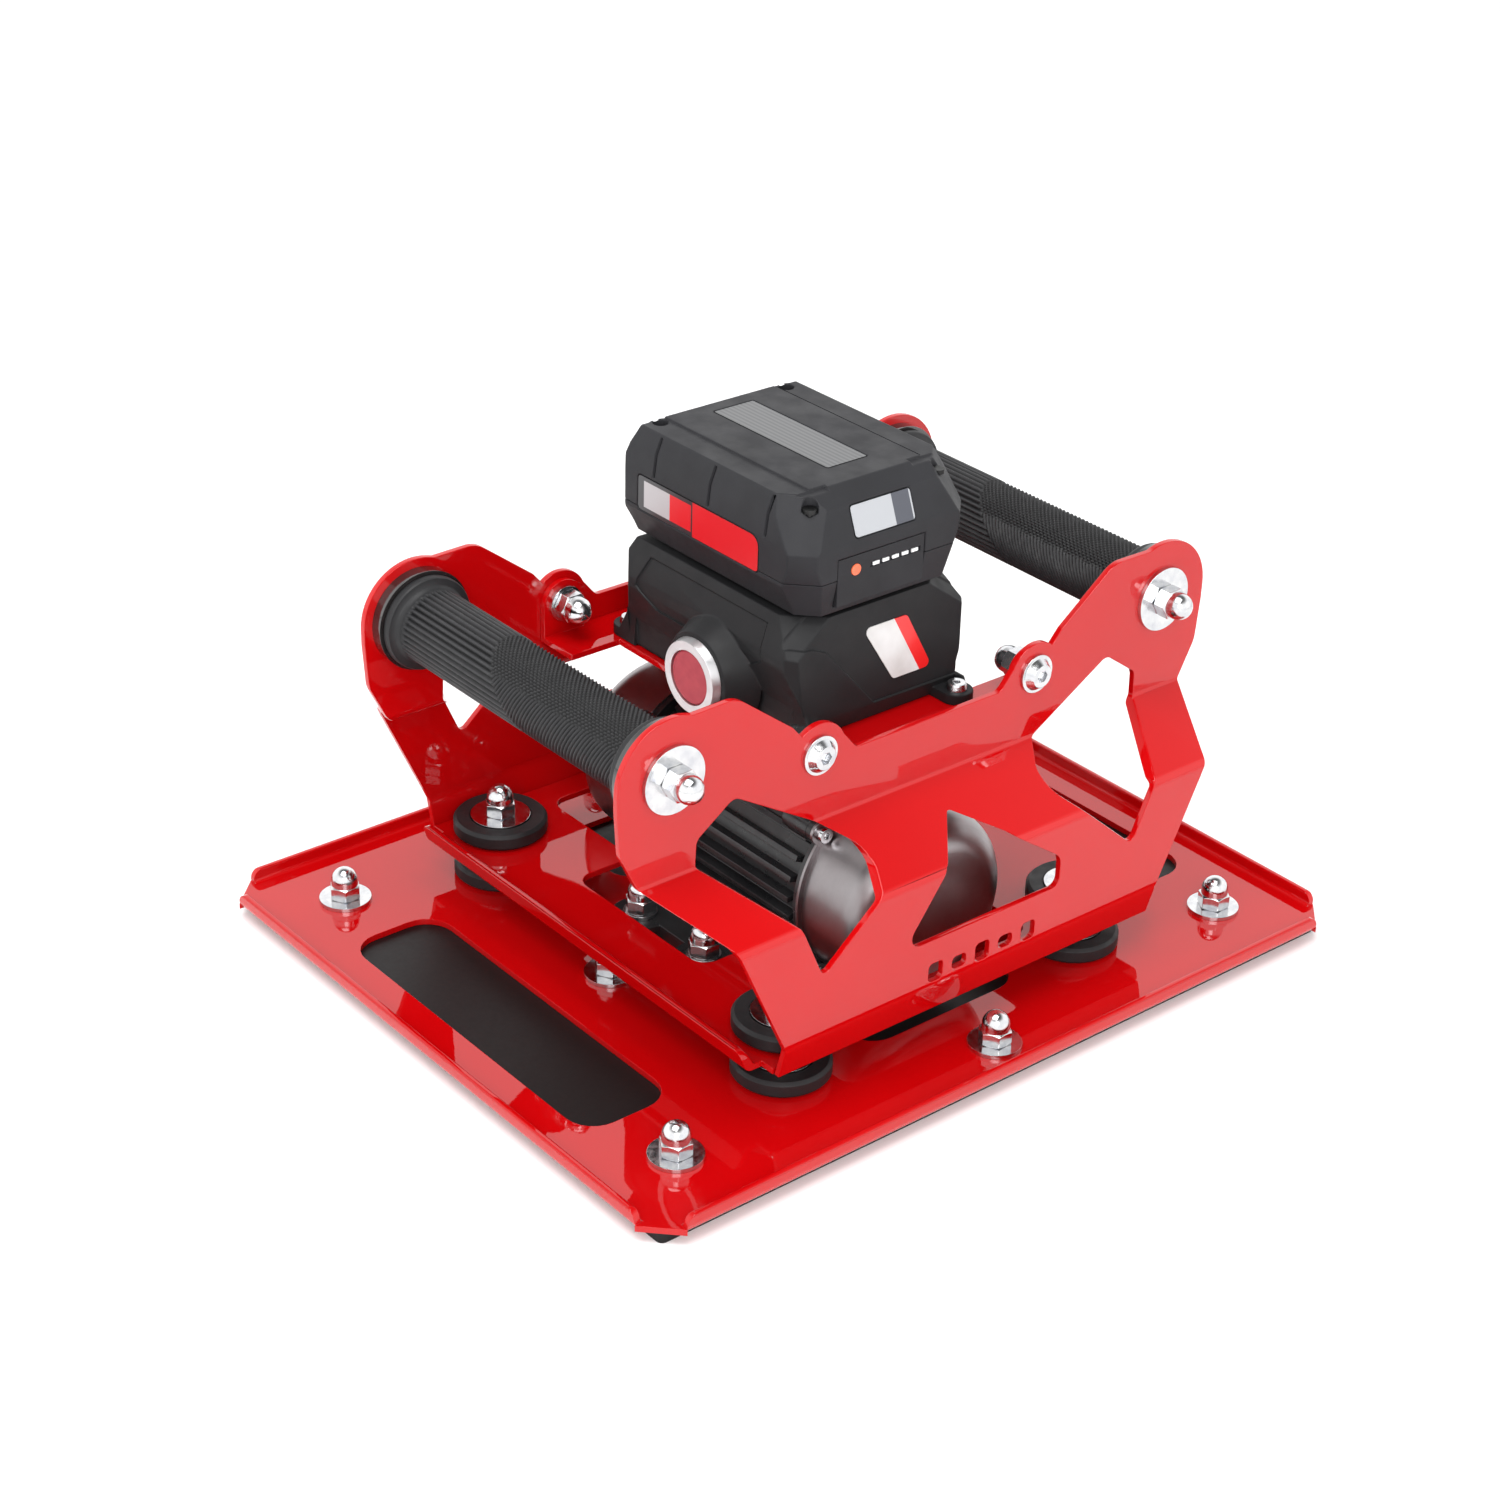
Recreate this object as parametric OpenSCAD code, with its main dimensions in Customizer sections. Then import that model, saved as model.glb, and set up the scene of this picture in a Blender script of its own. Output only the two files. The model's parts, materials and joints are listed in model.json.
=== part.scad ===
// Battery-powered vibrating plate for bedding large tiles.
// Millimetres, +Z up. X runs from grip to grip, Y along the grips.
// The origin is the middle of the sole, on the surface the plate stands on.

/* [Base plate and sole] */
// Length of the base plate along X
base_x = 400; // [390:5:420]
// Width of the base plate along Y
base_y = 330; // [325:5:345]
// Corner chamfer of the base plate
base_chamfer = 15; // [8:1:20]
// Thickness of every folded steel sheet
sheet = 3; // [2.5:0.5:3]
// Height of the upturned edge above the plate's upper face
edge_h = 6; // [4:1:8]
// Thickness of the wear sole
sole_t = 5; // [5:0.5:6]
// How far the sole stays inside the base plate
sole_inset = 7; // [6:1:8]

/* [Side windows in the base plate] */
// Width of each side window along X
window_w = 46; // [36:1:50]
// Length of each side window along Y
window_l = 180; // [140:5:190]
// Distance of a side window's middle from the plate's middle
window_x = 156; // [154:1:158]

/* [Rubber mounts] */
// Distance of a mount from the middle along X
mount_x = 86; // [84:1:88]
// Distance of a mount from the middle along Y
mount_y = 103; // [101:1:104]
// Outer diameter of a rubber buffer
buffer_d = 44; // [38:1:44]
// Height of a rubber buffer
buffer_h = 8; // [7:0.5:8]

/* [Upper frame] */
// Lower face of the frame's floor
floor_z = 27; // [27:0.5:28]
// Half width of the frame's floor, to the foot of its side lips
floor_half_x = 117; // [114:1:120]
// Outer face of a side panel's lower part, from the middle
panel_low_y = 131.5; // [131:0.5:133]
// Outer face of a side panel's upper part, from the middle
panel_high_y = 91.5; // [91:0.5:93]
// Height of the grip axis
grip_z = 162; // [160:1:164]
// Distance of the grip axis from the middle
grip_x = 138; // [136:1:140]

/* [Grips] */
// Diameter of the rubber grip
grip_d = 34; // [32:1:35]
// Diameter of the grip's end flanges
grip_flange_d = 43; // [41:1:44]

/* [Motor] */
// Height of the motor's axis
motor_z = 54; // [54:0.5:55]
// Radius over the motor's cooling fins
fin_r = 45; // [43.5:0.5:45]
// Radius of the end covers
cover_r = 44; // [42:0.5:44]
// Distance of a foot bolt from the motor's middle along X
foot_x = 64.5; // [64:0.5:66]
// Distance of a foot bolt from the motor's middle along Y
foot_y = 23; // [22:1:25]

/* [Control housing] */
// Widest half width of the housing
housing_half_x = 51; // [50:0.5:52]
// Widest half length of the housing
housing_half_y = 62; // [61:0.5:63]
// Height of the start button's axis
button_z = 149; // [148:1:150]
// Place of the start button along Y
button_y = -8; // [-10:1:-6]
// Travel of the start button
button_travel = 2.5; // [2:0.5:2.5]

/* [Battery] */
// Widest half width of the battery
battery_half_x = 48.5; // [48:0.5:49]
// Widest half length of the battery
battery_half_y = 61; // [60.5:0.5:61.5]
// Top of the battery
battery_top = 241; // [241:0.5:242]

/* [Hidden] */
$fn = 64;

// Colours
RED = [0.78, 0.02, 0.03];
BLACK = [0.10, 0.10, 0.11];
RUBBER = [0.07, 0.07, 0.07];
ZINC = [0.80, 0.82, 0.84];
SATIN = [0.62, 0.61, 0.61];
COPPER = [0.72, 0.42, 0.22];

// Heights of the base
base_z0 = sole_t;
bend_in_r = 2;
bend_out_r = bend_in_r + sheet;
base_z1 = sole_t + sheet;
edge_run = 14;
edge_top = base_z1 + edge_h;
sole_corner_r = 3;
hole_slack = 0.5;

// M8 fastener sizes
m8_r = 4;
fit = 0.05;
nut_af = 13;
nut_h = 6.5;
nut_collar_h = 2.2;
nut_dome_h = 6.3;
nut_total = nut_h + nut_collar_h + nut_dome_h;
washer_h = 2;
penny_r = 12;
fender_r = 15;

// Sole fasteners: corners, then the middles of the sides
sole_bolt_x = 159;
sole_bolt_y = 124;
sole_mid_x = 99;
sole_mid_y = 144;
SOLE_BOLTS = concat(
    [for (sx = [-1, 1], sy = [-1, 1]) [sx * sole_bolt_x, sy * sole_bolt_y]],
    [[-sole_mid_x, 0], [sole_mid_x, 0], [0, -sole_mid_y], [0, sole_mid_y]]);
head_h = 4;
head_r = 8;

// Windows under the motor's end covers
front_window_w = 92;
front_window_y0 = 58;
front_window_y1 = 113;
window_r = 14;

// Rubber mounts
MOUNTS = [for (sx = [-1, 1], sy = [-1, 1]) [sx * mount_x, sy * mount_y]];
buffer_recess_r = 14.5;
buffer_recess = 1.5;
mount_washer_r = 14;
mount_travel = 1.5;
lower_washer_z = base_z1 + buffer_h - buffer_recess;
spacer_z = lower_washer_z + washer_h;
spacer_top = floor_z - mount_travel - 0.5;
floor_top = floor_z + sheet;
upper_buffer_z = floor_top + 0.3;
upper_washer_z = upper_buffer_z + buffer_h - buffer_recess;
upper_nut_z = upper_washer_z + washer_h;
floor_hole_r = 6;

// Frame floor
floor_half_y = panel_low_y - 7.2;
lip_rise = 11.6;
lip_lean = 4;
lip_half_y = 117;
floor_open_x = 84;
floor_open_y = 46;
floor_neck_x = 52;
floor_neck_y = 110;
floor_edge_r = 8;

// Side panel profile, outer face, from the floor up
panel_foot_y = panel_low_y - 4;
panel_band_z = floor_z + 15;
panel_shelf_z0 = 97.8;
panel_shelf_z1 = 116.5;
panel_top = 195;
boss_r = 27;
bracket_bolt_x = 61.5;
bracket_bolt_z = 147.7;
bracket_boss_r = 14.3;
panel_in_y = panel_high_y - sheet;
panel_saddle_z = 144.6;

// Grips
disc_t = 6;
disc_r = 23;
flange_t = 4.5;
tube_r = 11;
tube_bore_r = 4.5;
grip_half = panel_in_y - disc_t;

// Motor, along Y
body_half = 60;
body_r = 40;
body_bore_r = 34;
fin_count = 28;
fin_w = 3;
shield_t = 3;
rim_r = 46.5;
lug_at = 34.2;
lug_r = 5.5;
cover_y0 = body_half + shield_t;
cover_depth = 41;
cover_t = 1.5;
cover_round = 15;
shaft_r = 7;
core_r = 21.4;
core_half = 30;
bearing_r = 17;
bearing_y0 = 48;
bearing_w = 10;
weight_y0 = 68;
weight_t = 16;
weight_r = 36;
weight_hub_r = 13;
foot_h = 8;
foot_half_y = 37;
foot_lobe_r = 14;
m4_r = 2;
screw_head_r = 3.5;
screw_head_h = 3.5;

// Cross bracket and housing
bracket_z0 = 130;
bracket_z1 = bracket_z0 + sheet;
bracket_cut_x = 30;
bracket_cut_y = 36;
tab_r = 11;
tab_y1 = panel_in_y - 0.1;
tab_y0 = tab_y1 - sheet;
bracket_arm = 24;
bracket_half_x = 46;
housing_z0 = bracket_z1;
housing_z1 = 187;
housing_wall = 3;
lug_x = 37.4;
lug_y = 68;
lug_h = 5;
front_z = 142;
front_lean = 3.5;
front_step = 1.4;
side_step = 1;
housing_lug_r = 7.5;
button_r = 12.4;
bezel_r = 17.5;
bezel_face_x = -64;
boss_x = -60;

// Battery
rail_z0 = 189;
rail_head_z = 192;
rail_head_top = 196;
rail_stem_x = 23.5;
rail_head_x = 29;
rail_half_y = 45;
foot_z1 = 205;
battery_wall = 2.5;
cell_r = 9.2;
cell_len = 65;
cell_pitch = 19.4;
cell_z = 223;
screw_x = 35.5;
screw_y = 50;
screw_boss_r = 3.4;
screw_collar_r = 5;
screw_collar_z = 232.4;
screw_seat_z = 234;
label_t = 0.5;
label_sink = 0.6;
side_label_z0 = 204;
side_label_z1 = 220;
front_label_z = 220.5;
SIDE_GROOVES = [38, 1, -37];
release_x0 = -28;
release_x1 = 20;
release_z0 = 192.5;
release_z1 = 214;
release_face_y = -60.6;
release_travel = 3;
pocket_y = -49;
gauge_x = -18;
gauge_z = 207.5;
gauge_r = 2.6;

// ---------- helpers ----------

// Points of a polygon whose corners [x, y, r] are rounded by arcs.
function unit2(v) = v / norm(v);
function corner_arc(a, b, c, steps) =
    let (u = unit2([a[0] - b[0], a[1] - b[1]]),
        v = unit2([c[0] - b[0], c[1] - b[1]]),
        half = acos(max(-1, min(1, u * v))) / 2,
        m = unit2(u + v),
        o = [b[0], b[1]] + m * (b[2] / sin(half)),
        p = [b[0], b[1]] + u * (b[2] / tan(half)),
        q = [b[0], b[1]] + v * (b[2] / tan(half)),
        a0 = atan2(p[1] - o[1], p[0] - o[0]),
        turn = atan2(q[1] - o[1], q[0] - o[0]) - a0,
        sweep = turn > 180 ? turn - 360 : (turn < -180 ? turn + 360 : turn))
    [for (i = [0 : steps]) o + b[2] * [cos(a0 + sweep * i / steps), sin(a0 + sweep * i / steps)]];
function rounded(pts, steps = 6) =
    [for (i = [0 : len(pts) - 1])
        let (n = len(pts), b = pts[i])
        each (b[2] > 0 ? corner_arc(pts[(i + n - 1) % n], b, pts[(i + 1) % n], steps)
            : [[b[0], b[1]]])];

// A rounded rectangle centred on the origin
module plate2d(w, l, r) {
    x = w / 2;
    y = l / 2;
    polygon(rounded([[-x, -y, r], [x, -y, r], [x, y, r], [-x, y, r]]));
}

// An outline in X and Z, extruded along Y between two places
module along_y(y0, y1) {
    translate([0, y1, 0]) rotate([90, 0, 0]) linear_extrude(y1 - y0) children();
}

// An outline in Y and Z, extruded along X between two places
module along_x(x0, x1) {
    translate([x0, 0, 0]) rotate([90, 0, 90]) linear_extrude(x1 - x0) children();
}

// An outline whose -Y side faces one of the front corners
module across_corner(a) rotate(a) along_x(-150, 150) children();

module ring(r_out, r_in, h) {
    difference() {
        cylinder(r = r_out, h = h);
        translate([0, 0, -1]) cylinder(r = r_in, h = h + 2);
    }
}

// Hexagon with the corners chamfered at both ends
module nut_hexagon(h) {
    corner_r = nut_af / 2 / cos(30);
    face_r = nut_af / 2;
    intersection() {
        cylinder(r = corner_r, h = h, $fn = 6);
        rotate_extrude() polygon([[0, 0], [face_r - 0.2, 0], [corner_r + 0.1, 0.7], [corner_r + 0.1, h - 0.7],
            [face_r - 0.2, h], [0, h]]);
    }
}

// Domed cap nut standing on its hexagon, with a blind bore
module cap_nut() {
    dome_r = 6.2;
    difference() {
        union() {
            nut_hexagon(nut_h);
            translate([0, 0, nut_h]) cylinder(r = dome_r, h = nut_collar_h);
            translate([0, 0, nut_h + nut_collar_h]) rotate_extrude()
                polygon(concat([[0, 0]], [for (a = [0 : 10 : 90]) [dome_r * cos(a), nut_dome_h * sin(a)]]));
        }
        translate([0, 0, -1]) cylinder(r = m8_r + fit, h = nut_h + nut_collar_h + 2);
    }
}

module hex_nut(h) {
    difference() {
        nut_hexagon(h);
        translate([0, 0, -1]) cylinder(r = m8_r + fit, h = h + 2);
    }
}

// ---------- base ----------

// Flat part of the base plate; its long sides stop where the bent edges take over
module base_outline() {
    x = base_x / 2;
    y = base_y / 2;
    c = base_chamfer;
    s = edge_run - 2;
    polygon([[-x, -y + c], [-x + c, -y], [-x + c, -y + s], [x - c, -y + s], [x - c, -y], [x, -y + c],
        [x - s, -y + c], [x - s, y - c], [x, y - c], [x - c, y], [x - c, y - s], [-x + c, y - s],
        [-x + c, y], [-x, y - c], [-x + s, y - c], [-x + s, -y + c]]);
}

module base_windows() {
    for (s = [-1, 1]) {
        translate([s * window_x, 0]) plate2d(window_w, window_l, window_r);
        translate([0, s * (front_window_y0 + front_window_y1) / 2])
            plate2d(front_window_w, front_window_y1 - front_window_y0, window_r);
    }
}

// A bent-up edge of a given half length, its outer face at distance d
module base_edge(half_len, d) {
    end_r = 5;
    intersection() {
        along_x(-half_len, half_len) polygon(rounded([[d - edge_run, base_z0, 0], [d, base_z0, bend_out_r],
            [d, edge_top, 1], [d - sheet, edge_top, 1], [d - sheet, base_z1, bend_in_r], [d - edge_run, base_z1, 0]]));
        along_y(d - edge_run, d) polygon(rounded([[-half_len, base_z0, 0], [half_len, base_z0, 0],
            [half_len, edge_top, end_r], [-half_len, edge_top, end_r]]));
    }
}

module base_plate() color(RED) {
    bx = base_x / 2;
    by = base_y / 2;
    difference() {
        union() {
            translate([0, 0, base_z0]) linear_extrude(sheet) difference() {
                base_outline();
                base_windows();
            }
            for (s = [0, 180]) {
                rotate(s) base_edge(bx - base_chamfer, by);
                rotate(s + 90) base_edge(by - base_chamfer, bx);
            }
        }
        for (p = concat(SOLE_BOLTS, MOUNTS)) translate([p[0], p[1], 0]) cylinder(r = m8_r + hole_slack, h = 20);
        for (p = foot_places()) translate([p[0], p[1], 0]) cylinder(r = m8_r + hole_slack, h = 20);
    }
}

module sole_plate() color(RUBBER) difference() {
    linear_extrude(sole_t) plate2d(base_x - 2 * sole_inset, base_y - 2 * sole_inset, sole_corner_r);
    for (p = concat(SOLE_BOLTS, MOUNTS, foot_places())) translate([p[0], p[1], -1]) {
        cylinder(r = m8_r + hole_slack, h = 20);
        cylinder(r = head_r + hole_slack, h = 1 + 0.5 + head_h + 0.1);
    }
}

// A bolt with a flat round head held in the sole, reaching up to a height
module plate_bolt(top) {
    translate([0, 0, 0.5]) cylinder(r = head_r, h = head_h);
    translate([0, 0, 0.5]) cylinder(r = m8_r, h = top - 0.5);
}

module sole_bolts() color(ZINC)
    for (p = SOLE_BOLTS) translate([p[0], p[1], 0]) plate_bolt(base_z1 + washer_h + nut_h + nut_collar_h);

module sole_washers() color(ZINC)
    for (p = SOLE_BOLTS) translate([p[0], p[1], base_z1]) ring(penny_r, m8_r + fit, washer_h);

module sole_nuts() color(ZINC)
    for (p = SOLE_BOLTS) translate([p[0], p[1], base_z1 + washer_h]) cap_nut();

// ---------- rubber mounts ----------

module mount_studs() color(ZINC)
    for (p = MOUNTS) translate([p[0], p[1], 0]) plate_bolt(upper_nut_z + nut_h + nut_collar_h);

module buffer() {
    edge = 1.5;
    r = buffer_d / 2;
    difference() {
        rotate_extrude() polygon([[m8_r + fit, 0], [r - edge, 0], [r, edge], [r, buffer_h - edge],
            [r - edge, buffer_h], [m8_r + fit, buffer_h]]);
        translate([0, 0, buffer_h - buffer_recess]) cylinder(r = buffer_recess_r, h = buffer_recess + 1);
    }
}

module lower_buffers() color(RUBBER)
    for (p = MOUNTS) translate([p[0], p[1], base_z1]) buffer();

module upper_buffers() color(RUBBER)
    for (p = MOUNTS) translate([p[0], p[1], upper_buffer_z]) buffer();

module lower_washers() color(ZINC)
    for (p = MOUNTS) translate([p[0], p[1], lower_washer_z]) ring(mount_washer_r, m8_r + fit, washer_h);

module upper_washers() color(ZINC)
    for (p = MOUNTS) translate([p[0], p[1], upper_washer_z]) ring(mount_washer_r, m8_r + fit, washer_h);

module spacer_nuts() color(ZINC)
    for (p = MOUNTS) translate([p[0], p[1], spacer_z]) {
        hex_nut(spacer_top - washer_h - spacer_z);
        translate([0, 0, spacer_top - washer_h - spacer_z]) ring(penny_r, m8_r + fit, washer_h);
    }

module upper_nuts() color(ZINC)
    for (p = MOUNTS) translate([p[0], p[1], upper_nut_z]) cap_nut();

// ---------- motor ----------

function foot_places() = [for (sx = [-1, 1], sy = [-1, 1]) [sx * foot_x, sy * foot_y]];

// Turns a shape built along +Z so that it runs along -Y from the motor's axis
module motor_front() translate([0, 0, motor_z]) rotate([90, 0, 0]) children();
module motor_rear() translate([0, 0, motor_z]) rotate([-90, 0, 0]) children();

module lug_places() for (sx = [-1, 1], sy = [-1, 1]) translate([sx * lug_at, sy * lug_at, 0]) children();

module motor_body() color(BLACK) {
    ear_l = 16;
    foot_in_x = 24;
    difference() {
        union() {
            translate([0, -body_half, motor_z]) rotate([-90, 0, 0]) cylinder(r = body_r, h = 2 * body_half);
            for (i = [0 : fin_count - 1]) translate([0, 0, motor_z]) rotate([0, i * 360 / fin_count, 0])
                translate([body_r - 2, -body_half + 4, -fin_w / 2]) cube([fin_r - body_r + 2, 2 * body_half - 8, fin_w]);
            for (s = [-1, 1]) translate([0, s * (body_half - ear_l / 2), motor_z]) rotate([90, 0, 0])
                translate([0, 0, -ear_l / 2]) {
                    lug_places() cylinder(r = lug_r, h = ear_l);
                    for (a = [45 : 90 : 315]) rotate(a) translate([body_r - 3, -lug_r, 0]) cube([8, 2 * lug_r, ear_l]);
                }
            translate([0, 0, base_z1]) linear_extrude(foot_h) {
                for (s = [-1, 1]) translate([s * (foot_in_x + foot_x) / 2, 0])
                    plate2d(foot_x - foot_in_x, 2 * foot_half_y, 4);
                for (p = foot_places()) translate(p) circle(r = foot_lobe_r);
            }
            for (s = [-1, 1]) translate([s * 37 - 8, -foot_half_y + 4, base_z1]) cube([16, 2 * foot_half_y - 8, 26]);
        }
        translate([0, -body_half - 1, motor_z]) rotate([-90, 0, 0]) cylinder(r = body_bore_r, h = 2 * body_half + 2);
        for (p = foot_places()) translate([p[0], p[1], 0]) cylinder(r = m8_r + hole_slack, h = 30);
        for (s = [-1, 1]) translate([0, s * (body_half - ear_l / 2 + 1), motor_z]) rotate([90, 0, 0])
            translate([0, 0, -ear_l / 2]) lug_places() cylinder(r = m4_r + fit, h = ear_l);
        translate([30, 0, motor_z]) rotate([0, 90, 0]) cylinder(r = 6 + fit, h = 30);
    }
}

module motor_stator() color(COPPER) translate([0, -core_half, motor_z]) rotate([-90, 0, 0])
    ring(body_bore_r - fit, core_r + 0.6, 2 * core_half);

module motor_bearings() color(ZINC) {
    motor_front() translate([0, 0, bearing_y0]) ring(bearing_r, shaft_r + fit, bearing_w);
    motor_rear() translate([0, 0, bearing_y0]) ring(bearing_r, shaft_r + fit, bearing_w);
}

module end_shield() {
    difference() {
        union() {
            translate([0, 0, bearing_y0]) cylinder(r = body_bore_r - fit, h = body_half - bearing_y0);
            translate([0, 0, body_half]) cylinder(r = rim_r - 1, h = shield_t);
            translate([0, 0, body_half]) lug_places() cylinder(r = lug_r, h = shield_t);
        }
        translate([0, 0, bearing_y0 - 1]) cylinder(r = bearing_r + fit, h = bearing_w + 1);
        translate([0, 0, bearing_y0]) cylinder(r = shaft_r + 1, h = 30);
        translate([0, 0, body_half - 1]) lug_places() cylinder(r = m4_r + fit, h = 10);
    }
}

module end_shields() color(SATIN) {
    motor_front() end_shield();
    motor_rear() end_shield();
}

// Drawn cup that closes the motor over its eccentric weight
module end_cover() {
    r0 = cover_r - cover_round;
    r1 = cover_round - cover_t;
    top = cover_y0 + cover_depth;
    shift = top - cover_round;
    difference() {
        union() {
            rotate_extrude() polygon(concat(
                [[rim_r, cover_y0], [rim_r, cover_y0 + cover_t], [cover_r, cover_y0 + cover_t]],
                [for (a = [0 : 9 : 90]) [r0 + cover_round * cos(a), shift + cover_round * sin(a)]],
                [[0, top], [0, top - cover_t]],
                [for (a = [90 : -9 : 0]) [r0 + r1 * cos(a), shift + r1 * sin(a)]],
                [[cover_r - cover_t, cover_y0]]));
            translate([0, 0, cover_y0]) difference() {
                lug_places() cylinder(r = lug_r, h = cover_t);
                translate([0, 0, -1]) cylinder(r = cover_r - cover_t / 2, h = 5);
            }
        }
        translate([0, 0, cover_y0 - 1]) lug_places() cylinder(r = m4_r + fit, h = 10);
    }
}

module end_cover_front() color(SATIN) motor_front() end_cover();
module end_cover_rear() color(SATIN) motor_rear() end_cover();

module cover_screw_set() translate([0, 0, cover_y0 + cover_t]) lug_places() {
    socket_af = 3;
    difference() {
        cylinder(r = screw_head_r, h = screw_head_h);
        translate([0, 0, 1.5]) cylinder(d = socket_af / cos(30), h = 5, $fn = 6);
    }
    translate([0, 0, -12]) cylinder(r = m4_r, h = 12.5);
}

module cover_screws() color(ZINC) {
    motor_front() cover_screw_set();
    motor_rear() cover_screw_set();
}

module motor_gland() color(BLACK) translate([0, 0, motor_z]) rotate([0, 90, 0]) difference() {
    union() {
        translate([0, 0, 36]) cylinder(r = 6, h = 14);
        translate([0, 0, fin_r + 0.3]) cylinder(d = 19, h = 5, $fn = 6);
        translate([0, 0, fin_r + 5]) cylinder(r1 = 8.2, r2 = 6.5, h = 9);
    }
    translate([0, 0, 30]) cylinder(r = 3.2, h = 40);
}

module motor_bolts() color(ZINC)
    for (p = foot_places()) translate([p[0], p[1], 0])
        plate_bolt(base_z1 + foot_h + washer_h + nut_h + nut_collar_h);

module motor_washers() color(ZINC)
    for (p = foot_places()) translate([p[0], p[1], base_z1 + foot_h]) ring(8, m8_r + fit, washer_h);

module motor_nuts() color(ZINC)
    for (p = foot_places()) translate([p[0], p[1], base_z1 + foot_h + washer_h]) cap_nut();

module rotor_shaft() color(SATIN) translate([0, 0, motor_z]) rotate([90, 0, 0]) {
    half = weight_y0 + weight_t + 4;
    translate([0, 0, -half]) cylinder(r = shaft_r, h = 2 * half);
    translate([0, 0, -core_half]) cylinder(r = core_r, h = 2 * core_half);
}

// Half-round weight clamped on the shaft, heavy side down
module eccentric() translate([0, 0, weight_y0]) difference() {
    union() {
        cylinder(r = weight_hub_r, h = weight_t);
        intersection() {
            cylinder(r = weight_r, h = weight_t);
            translate([-50, -50, 0]) cube([100, 50, weight_t]);
        }
    }
    translate([0, 0, -1]) cylinder(r = shaft_r + fit, h = weight_t + 2);
}

module eccentric_front() color(SATIN) motor_front() eccentric();
module eccentric_rear() color(SATIN) motor_rear() rotate(180) eccentric();

// ---------- upper frame ----------

module floor_tray() color(RED) {
    x = floor_half_x;
    y = floor_half_y;
    r = floor_edge_r;
    difference() {
        translate([0, 0, floor_z]) linear_extrude(sheet) difference() {
            square([2 * x - 16, 2 * y], center = true);
            polygon(rounded([[-floor_open_x, -floor_open_y, r], [-floor_neck_x, -floor_open_y, r],
                [-floor_neck_x, -floor_neck_y, r], [floor_neck_x, -floor_neck_y, r],
                [floor_neck_x, -floor_open_y, r], [floor_open_x, -floor_open_y, r],
                [floor_open_x, floor_open_y, r], [floor_neck_x, floor_open_y, r],
                [floor_neck_x, floor_neck_y, r], [-floor_neck_x, floor_neck_y, r],
                [-floor_neck_x, floor_open_y, r], [-floor_open_x, floor_open_y, r]]));
        }
        for (p = MOUNTS) translate([p[0], p[1], 0]) cylinder(r = floor_hole_r, h = 60);
    }
    for (s = [0, 180]) rotate(s) intersection() {
        along_y(-lip_half_y, lip_half_y) polygon(rounded([[-x + 12, floor_z, 0], [-x, floor_z, bend_out_r],
            [-x - lip_lean, floor_z + lip_rise, 1], [-x - lip_lean + sheet, floor_z + lip_rise, 1],
            [-x + sheet + 1, floor_top, bend_in_r], [-x + 12, floor_top, 0]]));
        along_x(-x - 10, -x + 13) polygon(rounded([[-lip_half_y, floor_z, 0], [lip_half_y, floor_z, 0],
            [lip_half_y, floor_z + lip_rise, 5], [-lip_half_y, floor_z + lip_rise, 5]]));
    }
}

// Folded profile of a side panel in Y and Z, outer face on the -Y side
module panel_profile() {
    y0 = panel_foot_y;
    y1 = panel_low_y;
    y2 = panel_high_y;
    t = sheet;
    lean = atan2(panel_shelf_z1 - panel_shelf_z0, y1 - y2);
    drop = t * tan((90 - lean) / 2);
    polygon(rounded([[-y0, floor_z, 0], [-y1, panel_band_z, 4 * bend_out_r], [-y1, panel_shelf_z0, bend_out_r],
        [-y2, panel_shelf_z1, bend_in_r], [-y2, panel_top, 0], [-y2 + t, panel_top, 0],
        [-y2 + t, panel_shelf_z1 - drop, bend_out_r], [-y1 + t, panel_shelf_z0 - drop, bend_in_r],
        [-y1 + t, panel_band_z, 4 * bend_out_r - t], [-y0 + t, floor_z, 0]]));
}

// Half of the panel's outline in X and Z, on the +X side
module panel_half() {
    polygon(rounded([[0, floor_z, 0], [108.4, floor_z, 0], [108.4, panel_band_z, 4], [134.7, panel_shelf_z0 + 1, 4],
        [154.7, panel_shelf_z1, 8], [163.5, 134, 14], [grip_x + boss_r, 155, 0], [grip_x + boss_r, grip_z, 0],
        [grip_x, grip_z, 0], [grip_x - 6, grip_z + 25, 0], [grip_x - 32, 187.5, 14], [76, 164.6, 6],
        [bracket_bolt_x, bracket_bolt_z, 0], [49.5, bracket_bolt_z + 7, 0], [41, panel_saddle_z, 5], [0, panel_saddle_z, 0]]));
    translate([grip_x, grip_z]) circle(r = boss_r);
    translate([bracket_bolt_x, bracket_bolt_z]) circle(r = bracket_boss_r);
}

// The tall opening beside the motor, on the +X side
module panel_side_opening() {
    polygon(rounded([[106, 142.5, 5], [125, 129, 5], [125.5, 116.5, 3], [101.5, 97.8, 2],
        [89.5, 71, 3], [58, 98, 6], [48, 107, 5], [61, 115.5, 6]]));
}

// The opening in front of the motor's end cover
module panel_middle_opening() {
    polygon(rounded([[-45.5, 65.5, 5], [45, 65.5, 4], [45, 80, 7], [15.5, 100.5, 4], [-2, 109, 3], [-22, 98, 2]]));
}

// Plain slots in a row along the panel's foot
module panel_slots() {
    for (i = [0 : 4]) translate([-26 + i * 13.5, 49]) plate2d(8, 9 - (i % 2) * 3, 2.2);
}

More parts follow.
